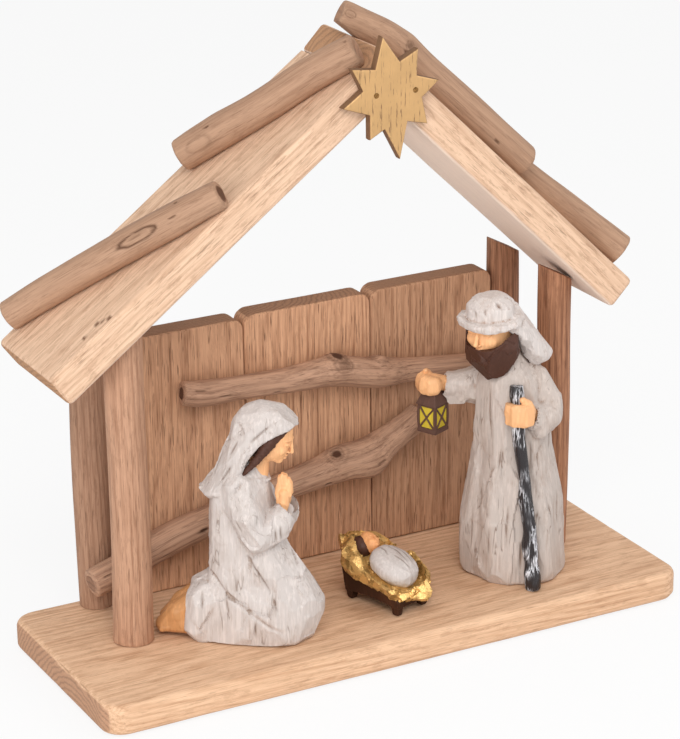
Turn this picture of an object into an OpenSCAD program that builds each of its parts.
// A small wooden stable with an open gable roof, made of sawn boards, round posts
// and natural driftwood, with a star on the gable and three loose figures inside.
// Origin: centre of the base board's underside. +X right, +Y rear, +Z up.

/* [Base board] */
// Width of the base board, left to right
base_w = 300; // [270:5:330]
// Depth of the base board, front to rear
base_d = 114; // [106:2:126]
// Thickness of the base board
base_t = 14.6; // [12:0.2:20]
// Corner radius of the base board, seen from above
base_corner_r = 11; // [6:1:16]
// Rounding of the base board's long edges
base_edge_r = 3.4; // [1:0.2:5]

/* [Back wall] */
// Height of the wall boards above the base board
wall_h = 130.8; // [110:1:145]
// Thickness of the wall boards
wall_t = 12.8; // [11:0.2:16]
// Radius of the wall boards' upper corners
wall_corner_r = 6; // [3:0.5:10]
// Rounding of the wall boards' edges
wall_edge_r = 1.4; // [0.6:0.2:2.4]
// Joint left between two wall boards
wall_joint = 0.3; // [0.1:0.1:1]
// Gap between the wall and the left rear post
wall_left_gap = 2.6; // [1:0.2:5]
// Gap between the wall and the right rear post
wall_right_gap = 0.6; // [0.2:0.2:3]

/* [Posts] */
// Radius of the stoutest post, the front left one
post_r = 9.2; // [7.6:0.2:10.4]
// Distance of the front posts' axes behind the middle of the base board
post_front_y = 4; // [0:1:8]
// Slope of the saw cut on top of the right posts
post_cut_angle = 28; // [22:1:34]
// Height lost to the saw cut on the right posts' inner side
post_cut_gap = 7; // [5:0.5:9]

/* [Roof] */
// Height of the inner ridge corner above the base board
ridge_h = 241.3; // [225:1:255]
// Place of the inner ridge corner, right of the middle
ridge_x = 12.5; // [6:0.5:18]
// Pitch of the left roof board
left_pitch = 36.4; // [34:0.2:39]
// Pitch of the right roof board
right_pitch = 44.3; // [42:0.2:47]
// Thickness of the roof boards
roof_t = 16.3; // [14:0.1:18]
// Depth of the roof boards, front to rear
roof_d = 60.2; // [54:1:66]
// Rounding of the roof boards' edges
roof_edge_r = 2.2; // [1:0.2:3]
// Distance of the left eave inside the end of the base board
left_eave_inset = 6.5; // [2:0.5:12]
// Distance of the right eave inside the end of the base board
right_eave_inset = 15.9; // [12:0.5:22]

/* [Driftwood] */
// Radius of the roof logs
log_r = 7.9; // [6.4:0.1:8.6]
// Radius of the branches on the wall
branch_r = 7; // [6:0.1:8]

/* [Star] */
// Distance from the star's middle to its longest point
star_r = 30.3; // [26:0.5:34]
// Thickness of the star
star_t = 4.6; // [3:0.2:6]
// Chamfer round the star's front
star_chamfer = 0.4; // [0.2:0.1:0.8]

/* [Fasteners] */
// Shank diameter of the wood screws under the base board
screw_d = 3.5; // [3:0.1:4]
// Length of the wood screws
screw_len = 35; // [30:1:40]
// Head diameter of the wood screws
screw_head_d = 7; // [6:0.2:8]
// Diameter of the brads
brad_d = 1.4; // [1.2:0.1:1.8]
// Head diameter of the brads
brad_head_d = 2.6; // [2.2:0.1:3.2]
// Clearance round a screw or brad in its hole
hole_clear = 0.05; // [0.02:0.01:0.1]

/* [Figures] */
// Height of the standing man
man_h = 144; // [130:1:150]
// Height of the kneeling woman
woman_h = 115; // [105:1:120]
// Length of the crib
crib_l = 34; // [30:1:38]
// Diameter of the walking staff
staff_d = 6; // [5:0.2:7]
// Width of the lantern across its flats
lantern_w = 10.8; // [9:0.2:13]

/* [Hidden] */

// One overrun serves every cut, and one side is long enough to cut off anything
overrun = base_t/4;
cut_side = 2*base_w;
// Facets on the rounded corners of boards and on the driftwood
corner_fn = 20;
edge_fn = 14;
limb_sides = 12;
post_sides = 14;

// Wood colours
pale_tan = [0.87, 0.74, 0.60];
cream = [0.92, 0.83, 0.72];
mid_brown = [0.66, 0.50, 0.37];
tan_post = [0.76, 0.58, 0.43];
red_brown = [0.65, 0.45, 0.34];
driftwood = [0.79, 0.64, 0.54];
grey_branch = [0.64, 0.51, 0.44];
gold = [0.83, 0.67, 0.34];
steel = [0.55, 0.55, 0.57];
off_white = [0.88, 0.85, 0.82];
skin_tone = [0.93, 0.72, 0.52];
dark_brown = [0.25, 0.16, 0.12];
black = [0.13, 0.13, 0.15];
pane_yellow = [0.82, 0.70, 0.20];

// General functions

function unit(v) = v/norm(v);
function xyz(p) = [p[0], p[1], p[2]];

// A smooth curve through hand-chosen points, at parameter s from 0 to one less than their number
function curve_point(p, s) =
    let (last = len(p) - 1, i = min(floor(s), last - 1), f = s - i,
         a = p[max(i - 1, 0)], b = p[i], c = p[i + 1], d = p[min(i + 2, last)])
    0.5*(2*b + (c - a)*f + (2*a - 5*b + 4*c - d)*f*f + (3*b - a - 3*c + d)*f*f*f);

// Natural unevenness of a stem: a share of its radius, by angle and by place along it
function uneven(angle, s, amount_share, twist) =
    1 + amount_share*(0.6*sin(2*angle + 200*s + twist) + 0.4*sin(3*angle - 330*s + 2*twist));

// A knot swells one side of a stem: [place share, angle, height share, length share]
function knot_swell(angle, s, knots) =
    len(knots) == 0 ? 0 :
    [for (k = knots) k[2]*exp(-pow((s - k[0])/k[3], 2))*pow(max(0, cos((angle - k[1])/1.6)), 3)]
    * [for (k = knots) 1];

// Rings round a curve whose points are [x, y, z, radius], with a softened cut at both ends
function stem_rings(p, count, sides, twist, amount_share, knots = []) =
    let (last = len(p) - 1, soft_share = 0.84, lip_share = 0.012,
         places = concat([0, lip_share], [for (k = [1:count - 1]) k/count], [1 - lip_share, 1]))
    [for (s = places)
        let (c = curve_point(p, s*last),
             ahead = curve_point(p, min(s + lip_share, 1)*last),
             behind = curve_point(p, max(s - lip_share, 0)*last),
             t = unit(xyz(ahead) - xyz(behind)),
             side = unit(cross(abs(t[2]) > 0.8 ? [1, 0, 0] : [0, 0, 1], t)), up = cross(t, side),
             end = s == 0 || s == 1 ? soft_share : 1)
        [for (i = [0:sides - 1])
            let (angle = 360*i/sides,
                 r = c[3]*end*(uneven(angle, s, amount_share, twist) + knot_swell(angle, s, knots)))
            xyz(c) + r*(cos(angle)*side + sin(angle)*up)]];

// A level ring of a robe or a head: middle, half length, half width and folds round it.
// A full share below 1 makes its corners squarer.
function squarer(v, full_share) = sign(v)*pow(abs(v), full_share);
function level_ring(z, x, a, b, sides, folds = 0, fold_share = 0, turn = 0, full_share = 1) =
    [for (i = [0:sides - 1])
        let (angle = 360*i/sides, r = 1 + fold_share*sin(folds*angle + turn))
        [x + a*r*squarer(cos(angle), full_share), b*r*squarer(sin(angle), full_share), z]];
// A skin over level rings given as [height, back, front, half width, share of fold depth]
module level_form(rows, unit_size, sides, folds, turn, full_share = 1)
    skin([for (p = rows)
        level_ring(unit_size*p[0], unit_size*(p[1] + p[2])/2, unit_size*(p[2] - p[1])/2, unit_size*p[3],
                   sides, folds, p[4], turn, full_share)]);

// A closed skin over rings that run counterclockwise round their direction of travel
module skin(rings) {
    n = len(rings[0]);
    m = len(rings);
    ones = [for (i = [1:n]) 1];
    points = concat([for (ring = rings) each ring], [ones*rings[0]/n, ones*rings[m - 1]/n]);
    walls = [for (j = [0:m - 2], i = [0:n - 1])
        let (a = j*n + i, b = j*n + (i + 1) % n) each [[a, a + n, b + n], [a, b + n, b]]];
    first = [for (i = [0:n - 1]) [m*n, i, (i + 1) % n]];
    final = [for (i = [0:n - 1]) [m*n + 1, (m - 1)*n + (i + 1) % n, (m - 1)*n + i]];
    polyhedron(points = points, faces = concat(walls, first, final), convexity = 6);
}

// A round puck with rounded rims, for the corners of boards
module puck(r, h, rim_r, sides) {
    rotate_extrude($fn = sides) {
        intersection() {
            offset(r = rim_r, $fn = edge_fn) translate([-r, rim_r]) square([2*r - rim_r, h - 2*rim_r]);
            square([r, h]);
        }
    }
}

// A board standing on the XZ plane, with round upper corners and softened edges
module upright_board(w, h, t, corner_r, edge_r) {
    hull() {
        for (x = [corner_r, w - corner_r])
            translate([x, t, h - corner_r]) rotate([90, 0, 0]) puck(corner_r, t, edge_r, corner_fn);
        for (x = [edge_r, w - edge_r], y = [edge_r, t - edge_r])
            translate([x, y, 0]) cylinder(r = edge_r, h = edge_r, $fn = edge_fn);
    }
}

// A board lying along X with its long edges and upright corners softened
module soft_rectangle(w, h, r) {
    translate([r, 0]) square([w - 2*r, h]);
    translate([0, r]) square([w, h - 2*r]);
    for (x = [r, w - r], y = [r, h - r]) translate([x, y]) circle(r = r, $fn = corner_fn);
}
module lying_board(l, d, t, edge_r) {
    intersection() {
        rotate([90, 0, 90]) linear_extrude(l) soft_rectangle(d, t, edge_r);
        linear_extrude(t) soft_rectangle(l, d, edge_r);
    }
}

// A short rounded stick between two points, for fingers, folds and straw
module stick(p, q, r_p, r_q, sides = 8) {
    hull() {
        translate(p) sphere(r = r_p, $fn = sides);
        translate(q) sphere(r = r_q, $fn = sides);
    }
}

// Roof geometry

ridge_z = base_t + ridge_h;
left_eave_x = -base_w/2 + left_eave_inset;
right_eave_x = base_w/2 - right_eave_inset;
left_len = (ridge_x - left_eave_x)/cos(left_pitch);
// The right board laps over the end of the left one, up to the left board's top face
lap_len = roof_t/sin(left_pitch + right_pitch);
right_len = (right_eave_x - ridge_x)/cos(right_pitch) + lap_len;
roof_rear_y = base_d/2 - wall_t;
roof_front_y = roof_rear_y - roof_d;
function left_under_z(x) = ridge_z + (x - ridge_x)*tan(left_pitch);
function right_under_z(x) = ridge_z - (x - ridge_x)*tan(right_pitch);

// Board frames: X up the slope from the eave, Y rearward from the front edge, Z out of the roof
module on_left_roof()
    translate([left_eave_x, roof_front_y, left_under_z(left_eave_x)]) rotate([0, -left_pitch, 0]) children();
module on_right_roof()
    translate([right_eave_x, roof_front_y, right_under_z(right_eave_x)])
        rotate([0, right_pitch, 0]) mirror([1, 0, 0]) children();

// Everything above the under face of a roof board, for cutting posts and the butted end
module above_left_under()
    on_left_roof() translate([-cut_side/2, -cut_side/2, 0]) cube(cut_side);
module above_right_under()
    on_right_roof() translate([-cut_side/2, -cut_side/2, 0]) cube(cut_side);

// Post geometry, as shares of the base board and of the stoutest post

post_x_share = [-0.368, -0.3627, 0.3727, 0.3777];
post_r_share = [1, 0.92, 0.87, 0.87];
post_lean_share = [0.1, -0.1, 0.08, 0.14];
post_girth_shares = [[1, 0.99, 0.98, 0.99, 1], [1, 0.98, 1, 0.97, 0.98], [0.97, 1, 0.98, 1, 0.99],
                     [0.93, 0.94, 0.97, 1, 1]];
function post_x(i) = base_w*post_x_share[i];
function post_rad(i) = post_r*post_r_share[i];
// The rear posts stand flush with the rear edge of the base board
function post_y(i) = i == 0 || i == 3 ? post_front_y : base_d/2 - post_rad(i);
post_turns = [10, 130, 250, 40];

function post_points(i, top) =
    [for (k = [0:4]) let (s = k/4, r = post_rad(i))
        [post_x(i) + r*post_lean_share[i]*(s + 0.5*sin(300*s)), post_y(i),
         base_t + s*(top - base_t), r*post_girth_shares[i][k]]];

module below_base_top() translate([-cut_side/2, -cut_side/2, base_t - cut_side]) cube(cut_side);

module post(i) {
    top = i < 2 ? left_under_z(post_x(i) + 2*post_r) : right_under_z(post_x(i) - 2*post_r);
    difference() {
        skin(stem_rings(post_points(i, top), 7, post_sides, post_turns[i], 0.03));
        if (i < 2) above_left_under();
        else above_right_under();
        below_base_top();
        // The right posts are sawn at a lower slope than the roof, and touch it on their outer side
        if (i >= 2)
            translate([post_x(i) - post_rad(i), 0, right_under_z(post_x(i) - post_rad(i)) - post_cut_gap])
                rotate([0, post_cut_angle, 0]) translate([-cut_side/2, -cut_side/2, 0]) cube(cut_side);
        post_screw_hole(i);
    }
}

// Wall geometry: three boards fill the space between the rear posts

wall_left_x = post_x(1) + post_rad(1) + wall_left_gap;
wall_right_x = post_x(2) - post_rad(2) - wall_right_gap;
wall_board_w = (wall_right_x - wall_left_x - 2*wall_joint)/3;
wall_front_y = base_d/2 - wall_t;
wall_h_share = [0.985, 0.994, 1];
function wall_x(i) = wall_left_x + i*(wall_board_w + wall_joint);
wall_screw_share = [0.25, 0.75];

module wall_board(i) {
    difference() {
        translate([wall_x(i), wall_front_y, base_t])
            upright_board(wall_board_w, wall_h*wall_h_share[i], wall_t, wall_corner_r, wall_edge_r);
        for (s = wall_screw_share) wood_screw_hole(wall_x(i) + s*wall_board_w, base_d/2 - wall_t/2);
        branch_brad_holes();
    }
}

// Screws driven up from under the base board, with countersunk heads

screw_head_h = (screw_head_d - screw_d)/2;
screw_sink = screw_head_h/4;
screw_tip_h = screw_d;
screw_drive_share = 0.45;

module wood_screw(x, y) {
    translate([x, y, screw_sink]) difference() {
        union() {
            cylinder(d1 = screw_head_d, d2 = screw_d, h = screw_head_h, $fn = corner_fn);
            cylinder(d = screw_d, h = screw_len - screw_tip_h, $fn = corner_fn);
            translate([0, 0, screw_len - screw_tip_h])
                cylinder(d1 = screw_d, d2 = screw_d/4, h = screw_tip_h, $fn = corner_fn);
        }
        // Cross recess
        for (a = [0, 90]) rotate([0, 0, a])
            translate([-screw_d*screw_drive_share, -screw_d/8, -screw_head_h/2])
                cube([2*screw_d*screw_drive_share, screw_d/4, screw_head_h]);
    }
}

module wood_screw_hole(x, y) {
    translate([x, y, 0]) {
        translate([0, 0, -overrun])
            cylinder(d = screw_head_d + 2*hole_clear, h = overrun + screw_sink, $fn = corner_fn);
        translate([0, 0, screw_sink])
            cylinder(d1 = screw_head_d + 2*hole_clear, d2 = screw_d + 2*hole_clear, h = screw_head_h,
                     $fn = corner_fn);
        cylinder(d = screw_d + 2*hole_clear, h = screw_sink + screw_len + hole_clear, $fn = corner_fn);
    }
}

module post_screw_hole(i) wood_screw_hole(post_x(i), post_y(i));

module base_board() {
    color(pale_tan) difference() {
        hull()
            for (x = [-1, 1], y = [-1, 1])
                translate([x*(base_w/2 - base_corner_r), y*(base_d/2 - base_corner_r), 0])
                    puck(base_corner_r, base_t, base_edge_r, corner_fn);
        for (i = [0:3]) post_screw_hole(i);
        for (i = [0:2], s = wall_screw_share)
            wood_screw_hole(wall_x(i) + s*wall_board_w, base_d/2 - wall_t/2);
    }
}

module wall_board_left() color(mid_brown) wall_board(0);
module wall_board_middle() color(mid_brown) wall_board(1);
module wall_board_right() color(mid_brown) wall_board(2);

module post_front_left() color(tan_post) post(0);
module post_rear_left() color(tan_post) post(1);
module post_rear_right() color(red_brown) post(2);
module post_front_right() color(red_brown) post(3);

module post_screws() color(steel) for (i = [0:3]) wood_screw(post_x(i), post_y(i));
module wall_screws()
    color(steel) for (i = [0:2], s = wall_screw_share) wood_screw(wall_x(i) + s*wall_board_w, base_d/2 - wall_t/2);

// Roof boards

module roof_board_left() {
    color(cream) difference() {
        on_left_roof() lying_board(left_len + 2*roof_t, roof_d, roof_t, roof_edge_r);
        above_right_under();
        ridge_brad_holes();
        log_brad_holes(0);
        log_brad_holes(1);
        star_brad_holes();
    }
}

module roof_board_right() {
    color(cream) difference() {
        on_right_roof() lying_board(right_len, roof_d, roof_t, roof_edge_r);
        ridge_brad_holes();
        log_brad_holes(2);
        log_brad_holes(3);
        star_brad_holes();
    }
}

// A brad along -Z with its head's top at the origin, and the hole that it fills
brad_head_h = brad_d/2;
module brad(length) {
    translate([0, 0, -brad_head_h]) cylinder(d = brad_head_d, h = brad_head_h, $fn = edge_fn);
    translate([0, 0, -length]) cylinder(d = brad_d, h = length - brad_head_h, $fn = edge_fn);
}
module brad_hole(length) {
    translate([0, 0, -brad_head_h]) cylinder(d = brad_head_d + 2*hole_clear, h = overrun + brad_head_h, $fn = edge_fn);
    translate([0, 0, -length - hole_clear]) cylinder(d = brad_d + 2*hole_clear, h = length, $fn = edge_fn);
}

// Two brads pin the lapped end of the right board into the end grain of the left one
ridge_brad_share = [0.24, 0.76];
ridge_brad_len = 2*roof_t;
module at_ridge_brads()
    for (s = ridge_brad_share)
        on_right_roof() translate([right_len - lap_len/2, s*roof_d, roof_t]) children();
module ridge_brads() color(steel) at_ridge_brads() brad(ridge_brad_len);
module ridge_brad_holes() at_ridge_brads() brad_hole(ridge_brad_len);

// Roof logs. Each row is [share of the board's length, share of its depth, height of the axis
// above the board's top face as a share of the log's radius, share of the log radius].

log_path_shares = [
    [[0.057, 0.957, 0.97, 0.86], [0.152, 0.804, 0.97, 0.90], [0.317, 0.497, 0.97, 0.94],
     [0.479, 0.2, 0.97, 0.93], [0.569, 0.045, 0.97, 0.84]],
    [[0.598, 0.864, 0.97, 0.97], [0.705, 0.68, 0.97, 1.02], [0.801, 0.52, 0.97, 0.97],
     [0.927, 0.35, 0.97, 0.98], [1.028, 0.155, 0.98, 0.93]],
    [[0.437, 0.25, 0.97, 1.06], [0.62, 0.28, 0.97, 1.06], [0.80, 0.36, 0.97, 1.07],
     [0.905, 0.42, 1.08, 1.05], [0.975, 0.50, 1.00, 0.92], [1.052, 0.567, 0.56, 0.82]],
    [[0.385, 0.62, 0.97, 0.90], [0.27, 0.46, 0.97, 0.94], [0.16, 0.30, 0.97, 0.99],
     [0.055, 0.15, 0.97, 1.03]]
];
log_twists = [20, 160, 80, 300];
// Where two brads go through each log, as shares of its length
log_brad_shares = [[0.2, 0.8], [0.2, 0.8], [0.15, 0.6], [0.2, 0.8]];
log_brad_len = 2*log_r + roof_t/2;

function log_len(i) = i < 2 ? left_len : right_len;
function log_points(i) =
    [for (p = log_path_shares[i])
        [p[0]*log_len(i), p[1]*roof_d, roof_t + log_r*p[3]*p[2]/0.97 - log_r*0.03, log_r*p[3]]];

module on_log_board(i) {
    if (i < 2) on_left_roof() children();
    else on_right_roof() children();
}

module at_log_brads(i)
    for (s = log_brad_shares[i])
        let (p = curve_point(log_points(i), s*(len(log_path_shares[i]) - 1)))
            on_log_board(i) translate([p[0], p[1], p[2] + p[3] - 2*brad_head_h]) children();
module log_brad_holes(i) at_log_brads(i) brad_hole(log_brad_len);
module log_brads() color(steel) for (i = [0:3]) at_log_brads(i) brad(log_brad_len);

// Rings along each log, and its knots: [share of length, angle, width share, height share]
log_rings = [12, 12, 16, 10];
log_wave_share = 0.025;
log_knot_shares = [[[0.42, 60, 0.08, 0.06]], [], [[0.72, 90, 0.09, 0.07]], []];
module roof_log(i) {
    difference() {
        on_log_board(i) skin(stem_rings(log_points(i), log_rings[i], limb_sides,
            log_twists[i], log_wave_share, log_knot_shares[i]));
        // The log is bedded flat where it lies on the board
        on_log_board(i) translate([0, 0, roof_t - cut_side]) cube([log_len(i), roof_d, cut_side]);
        if (i == 1) on_right_roof() cube([right_len, roof_d, roof_t]);
        log_brad_holes(i);
    }
}

module roof_log_left_lower() color(driftwood) roof_log(0);
module roof_log_left_upper() color(driftwood) roof_log(1);
module roof_log_right_upper() color(driftwood) roof_log(2);
module roof_log_right_lower() color(driftwood) roof_log(3);

// Branches nailed across the wall: [share of the base width, share of the wall height,
// share of the branch radius]. The upper one ends before the right rear post.

branch_path_shares = [
    [[-0.222, 0.765, 0.80], [-0.186, 0.752, 0.92], [-0.115, 0.744, 0.84], [-0.042, 0.738, 0.87],
     [0.018, 0.742, 1.02], [0.068, 0.728, 1.05], [0.106, 0.708, 1.06], [0.142, 0.694, 1.0],
     [0.182, 0.682, 0.82], [0.30, 0.655, 0.72]],
    [[-0.394, 0.137, 0.98], [-0.34, 0.168, 1.0], [-0.258, 0.222, 1.1], [-0.173, 0.268, 1.03],
     [-0.087, 0.314, 0.98], [0.003, 0.352, 1.04], [0.048, 0.376, 1.2], [0.093, 0.390, 1.28],
     [0.135, 0.428, 1.06], [0.176, 0.474, 0.95], [0.198, 0.51, 0.9]]
];
branch_twists = [45, 210];
branch_brad_shares = [[0.12, 0.62], [0.42, 0.93]];
branch_brad_len = 3*branch_r;
function branch_points(i) =
    [for (p = branch_path_shares[i])
        [base_w*p[0], wall_front_y - branch_r*(p[2] + (i == 1 ? post_clear_share(p[0]) : 0)) + branch_r*0.02,
         base_t + wall_h*p[1], branch_r*p[2]]];
// The lower branch stands off the wall at its left end, to pass in front of the rear post
function post_clear_share(x_share) =
    x_share > wall_left_x/base_w ? 0 :
    (wall_front_y - (post_y(1) - post_rad(1)) + branch_r*0.12)/branch_r
    * min(1, (wall_left_x/base_w - x_share)/0.02);

module at_branch_brads(i)
    for (s = branch_brad_shares[i])
        let (p = curve_point(branch_points(i), s*(len(branch_path_shares[i]) - 1)))
            translate([p[0], p[1] - p[3] + brad_head_h, p[2]]) rotate([90, 0, 0]) children();
module branch_brad_holes() for (i = [0:1]) at_branch_brads(i) brad_hole(branch_brad_len);
module branch_brads() color(steel) for (i = [0:1]) at_branch_brads(i) brad(branch_brad_len);

branch_rings = 20;
branch_wave_share = 0.03;
branch_knot_shares = [
    [[0.49, 80, 0.42, 0.035], [0.63, 80, 0.24, 0.04]], [[0.60, 60, 0.14, 0.05], [0.71, 250, 0.22, 0.05]]
];
module branch(i) {
    difference() {
        skin(stem_rings(branch_points(i), branch_rings, limb_sides, branch_twists[i],
            branch_wave_share, branch_knot_shares[i]));
        // The branch is bedded flat on the wall
        translate([wall_left_x, wall_front_y, 0]) cube([wall_right_x - wall_left_x, wall_t, cut_side]);
        at_branch_brads(i) brad_hole(branch_brad_len);
    }
}
module branch_upper() color(grey_branch) branch(0);
module branch_lower() color(grey_branch) branch(1);

// Star with eight points, the lowest one the longest: [radius share, angle] by turns tip and valley

star_point_shares = [
    [0.91, 100], [0.51, 76], [0.78, 56], [0.48, 31], [0.80, 9], [0.51, -11], [0.78, -41], [0.50, -60],
    [1.00, -83], [0.52, -105], [0.74, -121], [0.46, -146], [0.83, -173], [0.51, 166], [0.82, 145], [0.51, 124]
];
star_x = ridge_x + star_r*0.02;
star_z = ridge_z + star_r*0.1;
star_brad_x_share = [-0.27, 0.38];
star_brad_z_share = 0.03;
star_brad_len = 3*star_t;

module star_outline() {
    polygon([for (p = star_point_shares) star_r*p[0]*[cos(p[1]), sin(p[1])]]);
}
module on_gable() translate([star_x, roof_front_y, star_z]) rotate([90, 0, 0]) children();
module at_star_brads()
    for (s = star_brad_x_share)
        on_gable() translate([star_r*s, star_r*star_brad_z_share, star_t]) children();
module star_brad_holes() at_star_brads() brad_hole(star_brad_len);
module star_brads() color(steel) at_star_brads() brad(star_brad_len);
module star() {
    color(gold) difference() {
        on_gable() {
            linear_extrude(star_t - star_chamfer) star_outline();
            translate([0, 0, star_t - star_chamfer])
                linear_extrude(star_chamfer) offset(delta = -star_chamfer/2) star_outline();
        }
        star_brad_holes();
    }
}

// Sticks through rows of [x, y, z, radius], given in a unit; a side of -1 mirrors them
module limbs(rows, unit_size, sides, side = 1)
    for (i = [0:len(rows) - 2]) let (p = unit_size*rows[i], q = unit_size*rows[i + 1])
        stick([p[0], side*p[1], p[2]], [q[0], side*q[1], q[2]], p[3], q[3], sides);

// Kneeling woman. Her frame: X forward, Y to her left, Z up from the base board.
// All her places and sizes are in hundredths of her height.

// Her toes stay clear of the front left post
woman_reach_share = 0.348;
woman_post_gap = 1.5;
woman_x = post_x(0) + post_rad(0) + woman_post_gap + woman_h*woman_reach_share;
woman_y_share = -0.165;
woman_angle = -36.9;
wu = woman_h/100;
module on_woman()
    translate([woman_x, base_d*woman_y_share, base_t]) rotate([0, 0, woman_angle]) children();

// [height, back, front, half width, share of fold depth]
woman_robe_shares = [
    [0, -25.4, 20.9, 12, 0.01], [2.2, -26.6, 23.8, 12.6, 0.015], [10.5, -26.8, 26.5, 12.8, 0.02],
    [16, -26.6, 27, 12.4, 0.025], [19.6, -26, 25.8, 12, 0.03], [23, -24.4, 24.2, 11.5, 0.03],
    [25.8, -20.6, 22.8, 11.1, 0.03], [28.4, -18.2, 21.4, 10.8, 0.03], [42, -17.6, 12.8, 10, 0.025],
    [50, -17.2, 9.6, 10.2, 0.02], [58, -16.2, 7.8, 10.6, 0.015], [65, -13.6, 7, 10, 0.01],
    [70.5, -9.4, 5.6, 7.6, 0.01], [75, -4.3, 4.2, 4.2, 0]
];
woman_sides = 18;
module woman_body() level_form(woman_robe_shares, wu, woman_sides, 5, 30, 0.86);
// Sleeves from shoulder to elbow to wrist: [x, y, z, radius], and mirrored for the other arm
woman_arm_shares = [[-4, 8, 67, 5.2], [0.5, 11.6, 56, 5.6], [4, 11.4, 47, 5.6], [9.4, 8.4, 49, 5.2], [13.4, 4.6, 55, 4.6]];
// Her skirt's squared rear corners
woman_corner_shares = [[-21, 7, 6.1, 5.9], [-20, 6.2, 16.6, 6.2]];
arm_sides = 7;
corner_sides = 12;
module woman_robe_form() {
    woman_body();
    for (side = [-1, 1]) limbs(woman_corner_shares, wu, corner_sides, side);
    for (side = [-1, 1]) limbs(woman_arm_shares, wu, arm_sides, side);
}
// The veil runs down the back; its front rows end at the edge round the face
woman_veil_shares = [
    [59.3, -17.8, -12.6, 5.5, 0.01], [62.6, -19.8, -8, 8.8, 0.015], [67, -17.6, -4.4, 9.7, 0.015],
    [71.3, -14.2, -2.4, 9.9, 0.015], [76.5, -12.4, 0.2, 9.9, 0.015], [81, -10.7, 4.2, 9.9, 0.01],
    [84.8, -9.2, 9.8, 9.8, 0.01], [87.8, -8, 15.5, 9.6, 0.01], [91.3, -6.6, 18.2, 9, 0.01],
    [96.2, -3, 13.8, 7, 0.01], [98.7, 0, 10, 4.8, 0], [100, 3.5, 7.8, 2, 0]
];
// [x, y, z, radius] of the edge, from the brow down to the shoulder
woman_edge_shares = [[15.5, 4.4, 88.4, 1.3], [9.6, 7.8, 85.2, 1.4], [3.9, 9.2, 81, 1.4], [-0.3, 9.5, 75.6, 1.4], [-3.8, 9.2, 67.4, 1.2]];
module woman_veil_form() level_form(woman_veil_shares, wu, woman_sides, 6, 0);
// Head and hair are nested eggs that the veil is hollowed for
woman_head_mid_shares = [8.2, 0, 83];
woman_head_angle = 24;
// Half height, forward lean, half length and half width of her head
woman_egg_shares = [12.3, 0.8, 8.9, 7.7];
woman_hair_grow_share = 1.1;
woman_hair_shift_shares = [-1.9, 0, 0.9];
woman_lock_shares = [[0.6, 5.6, 84, 3], [-3.4, 7.2, 71, 1.8]];
woman_nose_shares = [[14.8, 0, 86, 0.9], [16.4, 0, 80.6, 1.3]];
woman_chin_shares = [[13.4, 0, 74.6, 2.6], [11, 0, 73.6, 3]];
woman_neck_shares = [[3.4, 0, 76, 4.4], [1.8, 0, 66, 4.8]];
lock_sides = 5;
nose_sides = 6;
neck_sides = 8;
module woman_egg(grow, shift) {
    e = wu*woman_egg_shares;
    translate(wu*(woman_head_mid_shares + shift)) rotate([0, woman_head_angle, 0])
        skin([for (k = [0:6]) let (a = -81 + 27*k)
            level_ring(e[0]*grow*sin(a), e[1]*sin(a), e[2]*grow*cos(a), e[3]*grow*cos(a), 12)]);
}
module woman_hair_form() {
    woman_egg(woman_hair_grow_share, woman_hair_shift_shares);
    for (side = [-1, 1]) limbs(woman_lock_shares, wu, lock_sides, side);
}
module woman_face_form() {
    woman_egg(1, [0, 0, 0]);
    limbs(woman_nose_shares, wu, nose_sides);
    limbs(woman_chin_shares, wu, nose_sides);
    limbs(woman_neck_shares, wu, neck_sides);
}
module woman_robe() color(off_white) on_woman() woman_robe_form();
module woman_hair() {
    color(dark_brown) on_woman() difference() {
        woman_hair_form();
        woman_face_form();
        woman_robe_form();
    }
}
module woman_head() {
    color(skin_tone) on_woman() difference() {
        woman_face_form();
        woman_robe_form();
    }
}
module woman_veil() {
    color(off_white) on_woman() difference() {
        union() {
            woman_veil_form();
            // Turned-back edge round the face
            for (side = [-1, 1]) limbs(woman_edge_shares, wu, lock_sides, side);
        }
        woman_hair_form();
        woman_face_form();
        woman_robe_form();
    }
}
// Hands held palm to palm
woman_palm_shares = [[12.6, 3.6, 54, 2.6], [13.2, 1.8, 62, 2.6]];
woman_thumb_shares = [[11, 1.8, 60, 1.2], [10, 1.2, 65, 0.9]];
woman_finger_shares = [
    [[11.1, 1.3, 61.6, 1.4], [11.1, 0.9, 68.2, 1]], [[12.5, 1.3, 61.6, 1.4], [12.4, 0.9, 69.1, 1]],
    [[14, 1.3, 61.6, 1.4], [13.7, 0.9, 69.1, 1]], [[15.4, 1.3, 61.6, 1.4], [15, 0.9, 68, 1]]
];
module woman_hands() {
    color(skin_tone) on_woman() difference() {
        for (side = [-1, 1]) {
            limbs(woman_palm_shares, wu, nose_sides, side);
            limbs(woman_thumb_shares, wu, lock_sides, side);
            for (finger = woman_finger_shares) limbs(finger, wu, lock_sides, side);
        }
        woman_robe_form();
    }
}
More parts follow.
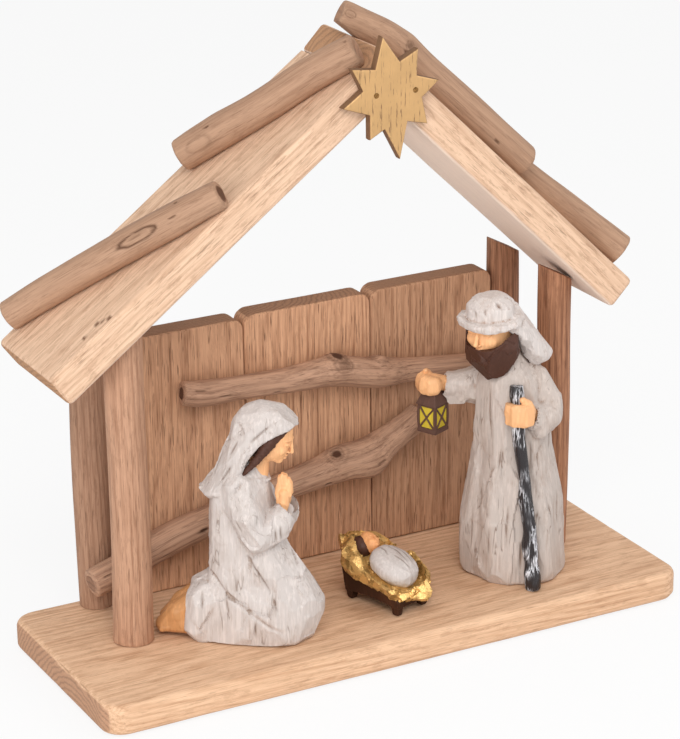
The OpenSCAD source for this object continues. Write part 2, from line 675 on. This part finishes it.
// Bare feet behind, soles turned up and back
woman_foot_shares = [[-22.5, 4.4, 14.6, 6.2], [-29.5, 4.3, 10.2, 5.2], [-36, 4, 5.2, 3.6]];
woman_sole_shares = [[-23, 5, 7, 5.8], [-36, 4.2, 4.4, 3.2]];
woman_toe_shares = [
    [[-35, 2.1, 4, 1.8], [-37.4, 2, 2.6, 1.3]], [[-35, 4, 4, 1.8], [-38.4, 4, 2.6, 1.3]],
    [[-35, 5.9, 4, 1.8], [-37.4, 6, 2.6, 1.3]]
];
module woman_feet() {
    color(skin_tone) on_woman() difference() {
        for (side = [-1, 1]) {
            limbs(woman_foot_shares, wu, arm_sides, side);
            limbs(woman_sole_shares, wu, arm_sides, side);
            for (toe = woman_toe_shares) limbs(toe, wu, lock_sides, side);
        }
        woman_robe_form();
        translate([-cut_side/2, -cut_side/2, -cut_side]) cube(cut_side);
    }
}

// Standing man. His frame: X forward, Y to his left, Z up from the base board.
// All his places and sizes are in hundredths of his height.

man_x_share = 0.277;
man_y_share = -0.105;
man_angle = 214.8;
mu = man_h/100;
module on_man()
    translate([base_w*man_x_share, base_d*man_y_share, base_t]) rotate([0, 0, man_angle]) children();

// [height, back, front, half width, share of fold depth]
man_robe_shares = [
    [0, -13.4, 16.4, 16.3, 0.03], [3, -14.1, 17.5, 17, 0.035], [10, -14.2, 17.8, 17.1, 0.04],
    [19, -13.5, 17.5, 16.8, 0.04], [28, -12, 16.5, 15.7, 0.035], [37, -10.3, 15.5, 14, 0.03],
    [46, -8.8, 14.8, 12.6, 0.025], [56, -7.8, 14.6, 12, 0.02], [64, -7, 14.4, 11.5, 0.015],
    [70, -4.6, 13.4, 9.8, 0.01], [74, -0.6, 11.4, 6.4, 0], [78, 3, 10.6, 4, 0]
];
man_sides = 20;
man_folds = 6;
man_fold_angle = 75;
module man_body() level_form(man_robe_shares, mu, man_sides, man_folds, man_fold_angle);
// [x, y, z, radius] from shoulder to cuff: the staff arm is the left one, the lantern arm the right
man_staff_arm_shares = [
    [2, 7.2, 68.4, 4.6], [1.6, 12.2, 60.6, 4.4], [4.4, 12.6, 57.2, 4.4], [9.6, 10.4, 58.6, 4.3]
];
man_lantern_arm_shares = [[3, -9, 68.6, 4.4], [6, -14.8, 64.8, 4.2], [9, -19.4, 64.4, 4.4]];
// Both sleeves are wide at the wrist and hang down to a point
man_staff_cuff_shares = [[4.4, 12.4, 57, 4], [7.4, 12.4, 54.4, 2.8], [8.6, 12.4, 51.6, 1.6]];
man_lantern_cuff_shares = [[5, -10.8, 62, 4], [8, -18, 60.4, 2.4], [9, -19.4, 59.4, 1.6]];
module man_robe_form() {
    man_body();
    limbs(man_staff_arm_shares, mu, arm_sides);
    limbs(man_staff_cuff_shares, mu, arm_sides);
    limbs(man_lantern_arm_shares, mu, arm_sides);
    limbs(man_lantern_cuff_shares, mu, arm_sides);
}
man_head_mid_shares = [10.4, -4.2, 85];
man_head_angle = -8;
man_bow_angle = 6;
module on_man_head() translate(mu*man_head_mid_shares) rotate([0, man_bow_angle, man_head_angle]) children();
// The same five numbers for the head, from the neck up
man_head_shares = [
    [-14, -9, -1, 4.2, 0], [-10, -7, 3, 4.8, 0], [-6, -6.6, 6.6, 5.8, 0], [-1, -7.2, 7.6, 6.6, 0],
    [4, -7.6, 7.6, 6.8, 0], [9, -6.6, 6.4, 6, 0]
];
man_nose_shares = [[6.8, 0, 2, 0.9], [8.2, 0, -1.6, 1.2]];
module man_face_form()
    on_man_head() {
        level_form(man_head_shares, mu, 12, 0, 0);
        limbs(man_nose_shares, mu, nose_sides);
    }
// Full beard from ear to ear, cut to a blunt point
man_beard_shares = [
    [-13.6, 2.6, 5.4, 2, 0.02], [-11, -0.6, 7.4, 5.4, 0.03], [-7, -4, 8.2, 8.7, 0.03],
    [-3, -6, 8.2, 9.5, 0.02], [-0.6, -7.4, 7, 9.1, 0.02], [1.2, -8, 4, 8.3, 0]
];
man_beard_shift_share = 1.7;
module man_beard_form()
    on_man_head() translate([0, mu*man_beard_shift_share, 0]) level_form(man_beard_shares, mu, 16, 5, 0);
man_hat_shares = [
    [3.4, -8.4, 8.4, 8.6, 0], [4.6, -9.2, 9.6, 10.2, 0.01], [6.4, -9.2, 9.7, 10.2, 0.01],
    [7.4, -8.4, 8.2, 8.7, 0.02],
    [9.8, -8, 7.2, 7.8, 0.02], [11.8, -6.4, 5.2, 6.1, 0.01], [13, -4.4, 3, 3.8, 0], [13.4, -2.4, 1, 1.6, 0]
];
// The cloth falls from the brim at the temple down behind and out over the shoulder: [x, y, z, radius]
man_fall_shares = [
    [-6, 4.6, 6, 3], [-6.6, -4, 6, 3], [-13, 12.2, -10, 1.7], [-14, 0, -11, 1.9], [0, 7.6, 4.6, 1.7]
];
man_fold_shares = [
    [[-8.6, 1, 3, 1.5], [-14, 3, -10.6, 1.4]], [[-8.6, 5.8, 3, 1.5], [-14, 10.8, -10.6, 1.4]],
    [[1, 8.6, 4.6, 1.5], [-6.6, 12.2, -5.6, 1.6]]
];
fall_sides = 8;
module man_headcloth_form() {
    on_man_head() {
        level_form(man_hat_shares, mu, 18, 5, 40);
        hull() for (p = mu*man_fall_shares) translate(xyz(p)) sphere(r = p[3], $fn = fall_sides);
        for (fold = man_fold_shares) limbs(fold, mu, lock_sides);
    }
}
// Fists: palm, four fingers bent round what they hold, and a thumb on the other side
fist_shares = [3, 3.6, 2.8];
fist_finger_shares = [
    [[2.2, 1.8, 2.1, 1.1], [2.4, -1.8, 2, 0.95]], [[2.2, 1.8, 0.6, 1.1], [2.4, -1.8, 0.5, 0.95]],
    [[2.2, 1.8, -0.9, 1.1], [2.4, -1.8, -1, 0.95]], [[2.2, 1.6, -2.3, 1], [2.4, -1.4, -2.4, 0.9]]
];
fist_thumb_shares = [[0.4, 2, 1.6, 1.2], [1.4, 1.2, 3.7, 0.9]];
module fist(turn, grow) {
    rotate([0, 0, turn]) scale(grow) {
        scale(mu*fist_shares) sphere(r = 1, $fn = arm_sides);
        for (finger = fist_finger_shares) limbs(finger, mu, lock_sides);
        limbs(fist_thumb_shares, mu, lock_sides);
    }
}
staff_hand_share = [14, 7.4, 61];
staff_hand_angle = 10;
staff_hand_grow_shares = [1.35, 1.35, 1.25];
lantern_hand_share = [12, -24.4, 65.4];
lantern_hand_angle = -40;
lantern_hand_grow_shares = [1.2, 1.2, 0.95];
module man_hands_form() {
    translate(mu*staff_hand_share) fist(staff_hand_angle, staff_hand_grow_shares);
    translate(mu*lantern_hand_share) mirror([0, 1, 0]) fist(-lantern_hand_angle, lantern_hand_grow_shares);
}
// Staff: [x, y, z, share of the staff's radius]
staff_path_shares = [
    [15.2, 13.4, 0.02, 1], [15.1, 12.9, 5, 1.02], [14.9, 12.1, 13, 0.92], [14.8, 11.3, 22, 1.02],
    [14.6, 10.3, 33, 0.92], [14.5, 8.9, 42, 0.98], [14.3, 7.3, 53, 1.06], [14, 6.8, 64, 0.98],
    [13.9, 6.3, 68, 1], [13.8, 6.1, 69.8, 0.88]
];
function staff_points() =
    [for (p = staff_path_shares) [mu*p[0], mu*p[1], mu*p[2], staff_d/2*p[3]]];
module staff_form() skin(stem_rings(staff_points(), 12, 8, 15, 0.06));

module man_robe() {
    color(off_white) on_man() difference() {
        man_robe_form();
        staff_form();
        lantern_form();
    }
}
module man_head() {
    color(skin_tone) on_man() difference() {
        man_face_form();
        man_robe_form();
    }
}
module man_beard() {
    color(dark_brown) on_man() difference() {
        man_beard_form();
        man_face_form();
        man_robe_form();
    }
}
module man_headcloth() {
    color(off_white) on_man() difference() {
        man_headcloth_form();
        man_face_form();
        man_beard_form();
        man_robe_form();
    }
}
module man_staff() {
    color(black) on_man() difference() {
        staff_form();
        translate([-cut_side/2, -cut_side/2, -cut_side]) cube(cut_side);
    }
}
module man_hands() {
    color(skin_tone) on_man() difference() {
        man_hands_form();
        man_robe_form();
        staff_form();
        lantern_form();
    }
}

// Lantern: four-sided, with a hood, corner bars and a stub in the fist
lantern_sides = 4;
lantern_angle = -56;
lantern_r = lantern_w/2/cos(180/lantern_sides);
lantern_bar = lantern_w/9;
lantern_body_h = 1.14*lantern_w;
lantern_hood_h = 0.74*lantern_w;
lantern_base_h = 0.15*lantern_w;
lantern_top_share = 0.5;
lantern_eave_share = 0.7;
lantern_grip_share = 1.6;
module on_lantern()
    translate(mu*lantern_hand_share
        - [0, 0, mu*lantern_grip_share + lantern_hood_h + lantern_body_h + lantern_base_h])
        rotate([0, 0, lantern_angle]) children();
module lantern_column(r, h) cylinder(r = r, h = h, $fn = lantern_sides);
module lantern_form() {
    on_lantern() {
        lantern_column(lantern_r, lantern_base_h);
        translate([0, 0, lantern_base_h]) lantern_column(lantern_r, lantern_body_h);
        translate([0, 0, lantern_base_h + lantern_body_h])
            cylinder(r1 = lantern_r + lantern_bar*lantern_eave_share, r2 = lantern_r*lantern_top_share,
                h = lantern_hood_h, $fn = lantern_sides);
        translate([0, 0, lantern_base_h + lantern_body_h + lantern_hood_h - lantern_bar])
            cylinder(r = lantern_r/3, h = lantern_bar + mu*lantern_grip_share, $fn = lantern_sides);
    }
}
// The pane stands back from the frame's faces by half a bar
module lantern_core() {
    on_lantern() translate([0, 0, lantern_base_h + lantern_bar/2])
        lantern_column(lantern_r - lantern_bar/2, lantern_body_h - lantern_bar/2);
}
module lantern_windows() {
    window_h = lantern_body_h - 1.4*lantern_bar;
    window_w = lantern_w - 2*lantern_bar;
    on_lantern() for (k = [0:lantern_sides - 1]) rotate([0, 0, 360*(k + 0.5)/lantern_sides])
        translate([lantern_w/2 - lantern_bar, 0, lantern_base_h + lantern_bar*0.7]) difference() {
            translate([0, -window_w/2, 0]) cube([2*lantern_bar, window_w, window_h]);
            // Crossed bars
            for (a = [-1, 1]) translate([-overrun, 0, window_h/2])
                rotate([a*atan2(window_h, window_w) - 90, 0, 0])
                    translate([0, -lantern_bar/3, -window_h])
                        cube([2*overrun + 2*lantern_bar, lantern_bar/1.5, 2*window_h]);
        }
}
module lantern_frame() {
    color(dark_brown) on_man() difference() {
        lantern_form();
        lantern_core();
        lantern_windows();
    }
}
module lantern_panes() color(pane_yellow) on_man() lantern_core();

// Crib with the infant. Its frame: X towards the foot end, Z up. Sizes follow the crib's length.

crib_x_share = 0.034;
crib_y_share = -0.149;
crib_angle = -72.5;
crib_w_share = 0.64;
crib_h_share = 0.42;
crib_flare_share = 1.1;
crib_rim_share = 0.92;
crib_leg_share = 0.15;
cu = crib_l/100;
module on_crib()
    translate([base_w*crib_x_share, base_d*crib_y_share, base_t]) rotate([0, 0, crib_angle]) children();
crib_w = crib_l*crib_w_share;
crib_h = crib_l*crib_h_share;
crib_leg = crib_l*crib_leg_share;
crib_wall = crib_leg/2;

// Four boards round a floor, flared upwards; the rim falls towards the foot end
module crib_box_form() {
    difference() {
        translate([0, 0, crib_leg*0.6])
            linear_extrude(height = crib_h, scale = crib_flare_share) square([crib_l, crib_w], center = true);
        translate([0, 0, crib_leg*0.6 + crib_wall])
            linear_extrude(height = crib_h, scale = crib_flare_share)
                square([crib_l - 2*crib_wall, crib_w - 2*crib_wall], center = true);
        translate([0, 0, crib_h*crib_rim_share]) rotate([0, atan(straw_slope_share), 0])
            translate([-cut_side/2, -cut_side/2, 0]) cube(cut_side);
    }
    for (x = [-1, 1], y = [-1, 1])
        translate([x*(crib_l - crib_leg)/2, y*(crib_w - crib_leg)/2, 0]) hull() {
            translate([-crib_leg/3, -crib_leg/3, 0]) cube([crib_leg/1.5, crib_leg/1.5, crib_leg]);
            translate([-crib_leg/2, -crib_leg/2, crib_leg]) cube([crib_leg, crib_leg, crib_leg]);
        }
}
module crib_box() color(dark_brown) on_crib() crib_box_form();
// Heaped straw that hangs over the rim and slopes down from the head end:
// [height, back, front, half width, share of tufts]
straw_slope_share = 0.19;
straw_shares = [
    [27, -54, 54, 30, 0.01], [35, -72, 69, 41, 0.07], [48, -78, 72, 45, 0.08], [58, -78, 66, 44, 0.08],
    [66, -74, 54, 39, 0.08], [71, -68, 30, 30, 0.07], [75, -61, -16, 21, 0.04]
];
straw_blades = 5;
// Where a blade starts and ends: reach along and across the crib, height and radius
blade_start_shares = [56, 34, 50, 5];
blade_end_shares = [73, 43, 50, 2.4];
blade_turn_angle = 24;
function blade_row(p, a) =
    cu*[p[0]*cos(a), p[1]*sin(a), p[2] - p[0]*straw_slope_share*cos(a), p[3]];
module straw_form() {
    skin([for (p = straw_shares)
        [for (q = level_ring(0, cu*(p[1] + p[2])/2, cu*(p[2] - p[1])/2, cu*p[3], 18, 6, p[4], 4*p[0], 0.8))
            [q[0], q[1], cu*p[0] - straw_slope_share*q[0]]]]);
    // Loose blades along the rim
    for (k = [0:straw_blades - 1]) let (a = 360*k/straw_blades + 10)
        limbs([blade_row(blade_start_shares, a), blade_row(blade_end_shares, a + blade_turn_angle)],
            1, lock_sides);
}
// The hollow that the infant lies in: [along, floor height, half width, reach of the near slope]
hollow_shares = [
    [-50, 69, 6, 1.2], [-44, 66, 14, 1.2], [-30, 62, 18, 1.2], [-17, 58, 21, 1.3], [-9, 53, 28, 1.4],
    [4, 47, 33, 1.5], [18, 43, 34, 1.6], [32, 39, 32, 1.7], [42, 36, 28, 1.8], [50, 37, 23, 1.8],
    [58, 41, 18, 1.8], [65, 47, 8, 1.6]
];
hollow_depth_share = 70;
hollow_step_share = 6;
hollow_near_step_shares = [3, 11];
hollow_foot_share = 0.8;
hollow_flare_share = 1.25;
// A chamfered channel, open at the top, with a long low slope on its near side
module hollow_form()
    skin([for (p = hollow_shares) let (section = [
            [-p[3], hollow_depth_share], [-p[3], hollow_near_step_shares[1]],
            [-1, hollow_near_step_shares[0]], [-hollow_foot_share, 0], [hollow_foot_share, 0],
            [1, hollow_step_share], [hollow_flare_share, hollow_depth_share]
        ]) [for (q = section) cu*[p[0], p[2]*q[0], p[1] + q[1]]]]);
module crib_straw() {
    color(gold) on_crib() difference() {
        straw_form();
        hollow_form();
        crib_box_form();
        wrap_form();
        infant_head_form();
        infant_hair_form();
    }
}
// Swaddled infant, head towards the raised end: [along, height, half width, half height]
wrap_shares = [
    [-17, 66, 15, 10], [-9, 65, 25, 15], [4, 62, 30, 17], [18, 58, 31, 17], [32, 54, 27, 15],
    [42, 50, 19, 11], [48, 48, 9, 6]
];
wrap_low_share = 1.5;
module wrap_form()
    skin([for (p = wrap_shares)
        [for (i = [0:15]) let (a = 22.5*i, grow = sin(a) < 0 ? wrap_low_share : 1)
            cu*[p[0], p[2]*cos(a), p[1] + grow*p[3]*sin(a)]]]);
infant_head_mid_shares = [-29, -2, 78];
infant_head_angle = -62;
// Half height, half length and half width of the head
infant_egg_shares = [15.6, 14.6, 14];
infant_hair_grow_share = 1.08;
infant_hair_shift_shares = [-3.6, -2.4, -3];
module infant_egg(grow, shift) {
    e = cu*grow*infant_egg_shares;
    translate(cu*(infant_head_mid_shares + shift)) rotate([0, infant_head_angle, 0])
        skin([for (k = [0:6]) let (a = -78 + 26*k)
            level_ring(e[0]*sin(a), 0, e[1]*cos(a), e[2]*cos(a), 12)]);
}
module infant_head_form() infant_egg(1, [0, 0, 0]);
module infant_hair_form() infant_egg(infant_hair_grow_share, infant_hair_shift_shares);
module infant_wrap() {
    color(off_white) on_crib() difference() {
        wrap_form();
        infant_head_form();
        infant_hair_form();
    }
}
module infant_head() color(skin_tone) on_crib() infant_head_form();
module infant_hair() {
    color(dark_brown) on_crib() difference() {
        infant_hair_form();
        infant_head_form();
    }
}

base_board();
wall_board_left();
wall_board_middle();
wall_board_right();
post_front_left();
post_rear_left();
post_rear_right();
post_front_right();
roof_board_left();
roof_board_right();
roof_log_left_lower();
roof_log_left_upper();
roof_log_right_upper();
roof_log_right_lower();
branch_upper();
branch_lower();
star();
post_screws();
wall_screws();
ridge_brads();
log_brads();
branch_brads();
star_brads();
woman_robe();
woman_veil();
woman_head();
woman_hair();
woman_hands();
woman_feet();
man_robe();
man_headcloth();
man_head();
man_beard();
man_hands();
man_staff();
lantern_frame();
lantern_panes();
crib_box();
crib_straw();
infant_wrap();
infant_head();
infant_hair();
